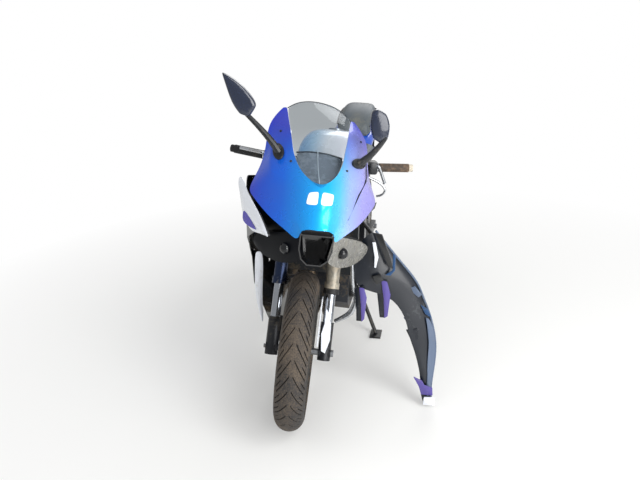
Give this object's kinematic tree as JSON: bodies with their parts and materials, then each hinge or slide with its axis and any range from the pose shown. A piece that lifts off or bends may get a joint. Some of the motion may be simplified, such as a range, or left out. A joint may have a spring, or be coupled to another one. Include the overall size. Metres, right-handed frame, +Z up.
{
  "type": "sport motorcycle",
  "caption": "Faired sport motorcycle with crash damage, leaning on its side stand: steering, wheels and stand move; front mudguard gone, left side panel torn.",
  "frame": {"origin": "bottom centre of the bounding box, on the ground", "axes": "+Z up; the front wheel faces -Y; +X is the rider's left, the side-stand side"},
  "size_m": [0.8062, 2.0698, 1.2895],
  "materials": {
    "body_paint": "gloss",
    "frame_paint": "satin",
    "engine_alloy": "cast",
    "fork_dark": "anodised",
    "bright_steel": "polished",
    "black_plastic": "moulded",
    "gloss_black": "gloss",
    "tyre_rubber": "dusty",
    "grip_rubber": "moulded",
    "seat_vinyl": "grained",
    "smoked_screen": "smoked",
    "lamp_lens": "clear",
    "red_lens": "clear red",
    "rim_paint": "painted"
  },
  "bodies": {
    "frame": {"main_frame": "frame_paint", "engine": "engine_alloy", "engine_covers": "engine_alloy", "radiator": "engine_alloy", "exhaust_headers": "bright_steel", "muffler": "black_plastic", "swingarm": "frame_paint", "rear_axle": "bright_steel", "rear_shock": "bright_steel", "fuel_tank": "body_paint", "rider_seat": "seat_vinyl", "tail_cowl": "body_paint", "tail_light": "red_lens", "rear_mudguard": "black_plastic", "side_fairing_right": "body_paint", "side_fairing_left": "body_paint", "rear_caliper": "fork_dark", "footrests": "engine_alloy", "chain": "bright_steel", "fairing_stay": "frame_paint", "nose_cowl": "body_paint", "windscreen": "smoked_screen", "headlight_left": "lamp_lens", "headlight_right": "lamp_lens", "intake_duct": "gloss_black", "instrument_panel": "black_plastic", "mirror_left": "black_plastic", "mirror_right": "black_plastic"},
    "steering": {"steering_stem": "fork_dark", "fork_outer_tubes": "fork_dark", "fork_lowers": "bright_steel", "front_axle": "bright_steel", "front_caliper": "fork_dark", "handlebars": "fork_dark", "grips": "grip_rubber", "control_levers": "bright_steel", "mudguard_remnant": "body_paint"},
    "front_wheel": {"front_tyre": "tyre_rubber", "front_rim": "rim_paint", "front_disc": "bright_steel"},
    "rear_wheel": {"rear_tyre": "tyre_rubber", "rear_rim": "rim_paint", "rear_disc": "bright_steel", "rear_sprocket": "bright_steel"},
    "side_stand": {"side_stand": "frame_paint"}
  },
  "joints": [
    {"name": "steering", "type": "hinge", "parent": "frame", "child": "steering", "pos_m": [-0.05668, -0.46589, 0.79878], "axis": [0.079, 0.4219, 0.9032], "range_deg": [-32.5, 15.5]},
    {"name": "front_wheel_spin", "type": "hinge", "parent": "steering", "child": "front_wheel", "pos_m": [-0.09556, -0.74442, 0.29012], "axis": [0.9798, 0.1341, -0.1483], "continuous": true},
    {"name": "rear_wheel_spin", "type": "hinge", "parent": "frame", "child": "rear_wheel", "pos_m": [-0.09927, 0.63519, 0.31281], "axis": [0.9962, 0.0001, -0.0872], "continuous": true},
    {"name": "side_stand_fold", "type": "hinge", "parent": "frame", "child": "side_stand", "pos_m": [0.02758, -0.01472, 0.20181], "axis": [0.9869, 0.1569, 0.0382], "range_deg": [0, 98]}
  ]
}
